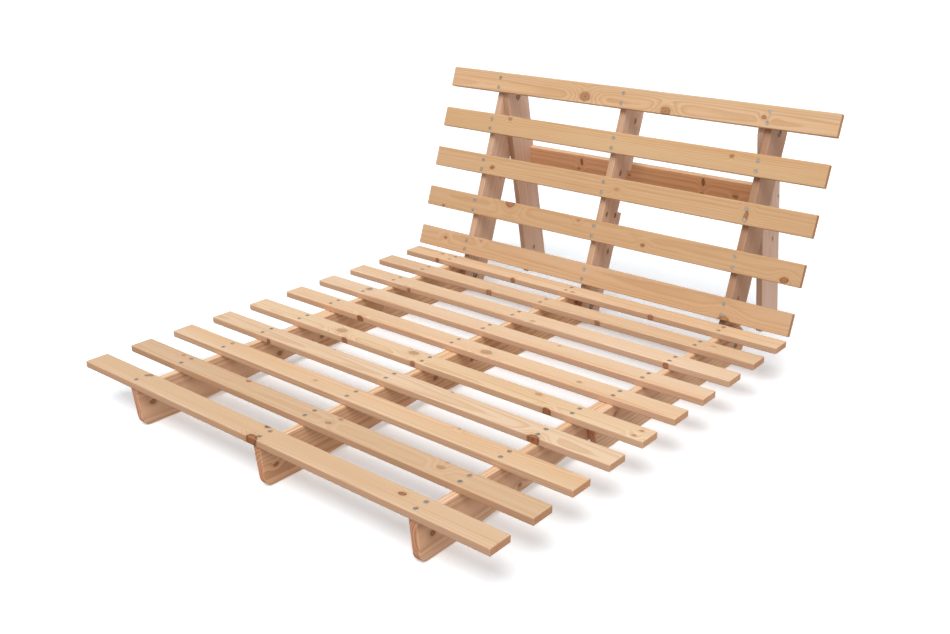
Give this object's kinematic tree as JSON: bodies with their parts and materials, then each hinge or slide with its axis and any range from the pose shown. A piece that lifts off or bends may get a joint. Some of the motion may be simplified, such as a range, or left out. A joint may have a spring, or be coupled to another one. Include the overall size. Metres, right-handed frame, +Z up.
{
  "type": "slatted futon sofa bed frame",
  "caption": "Low slatted pine futon frame in three sections: flat front and rear seat sections and a reclining back propped by hinged struts; folds down into a flat bed base.",
  "frame": {"origin": "centre of the object's footprint on the floor, in the lounger position", "axes": "+X to the right along the slats, seen from the front; +Y from the front edge of the seat to the back; +Z up"},
  "size_m": [1.3, 1.6576, 0.6914],
  "materials": {
    "slat_pine": "planed pine, satin clear lacquer",
    "bearer_pine": "planed redwood pine, satin clear lacquer",
    "screw_steel": "zinc plated",
    "zinc_steel": "zinc plated"
  },
  "bodies": {
    "seat_rear": {"seat_slat_6": "slat_pine", "seat_slat_7": "slat_pine", "seat_slat_8": "slat_pine", "seat_slat_9": "slat_pine", "seat_slat_10": "slat_pine", "rear_bearer_left": "bearer_pine", "rear_bearer_middle": "bearer_pine", "rear_bearer_right": "bearer_pine", "rear_slat_screws": "screw_steel", "front_pivot_bolts": "zinc_steel", "front_pivot_washers": "zinc_steel", "front_pivot_nuts": "zinc_steel", "rear_pivot_bolts": "zinc_steel", "rear_pivot_washers": "zinc_steel", "rear_pivot_nuts": "zinc_steel"},
    "seat_front": {"seat_slat_1": "slat_pine", "seat_slat_2": "slat_pine", "seat_slat_3": "slat_pine", "seat_slat_4": "slat_pine", "seat_slat_5": "slat_pine", "front_bearer_left": "bearer_pine", "front_bearer_middle": "bearer_pine", "front_bearer_right": "bearer_pine", "front_slat_screws": "screw_steel"},
    "back": {"back_slat_1": "slat_pine", "back_slat_2": "slat_pine", "back_slat_3": "slat_pine", "back_slat_4": "slat_pine", "back_slat_5": "slat_pine", "back_bearer_left": "bearer_pine", "back_bearer_middle": "bearer_pine", "back_bearer_right": "bearer_pine", "back_slat_screws": "screw_steel", "strut_pivot_bolts": "zinc_steel", "strut_pivot_washers": "zinc_steel", "strut_pivot_nuts": "zinc_steel"},
    "strut_frame": {"strut_left": "bearer_pine", "strut_right": "bearer_pine", "cross_rail": "bearer_pine", "rail_screws": "screw_steel"}
  },
  "joints": [
    {"name": "front_fold", "type": "hinge", "parent": "seat_rear", "child": "seat_front", "pos_m": [0, -0.19183, 0.074], "axis": [-1, 0, 0], "range_deg": [0, 60]},
    {"name": "back_recline", "type": "hinge", "parent": "seat_rear", "child": "back", "pos_m": [0, 0.45817, 0.054], "axis": [-1, 0, 0], "range_deg": [0, 71]},
    {"name": "strut_fold", "type": "hinge", "parent": "back", "child": "strut_frame", "pos_m": [0, 0.65026, 0.61186], "axis": [-1, 0, 0], "range_deg": [0, 30.6]}
  ],
  "couplings": [
    {"joint": "strut_fold", "follows": "back_recline", "ratio": 0.4295}
  ]
}
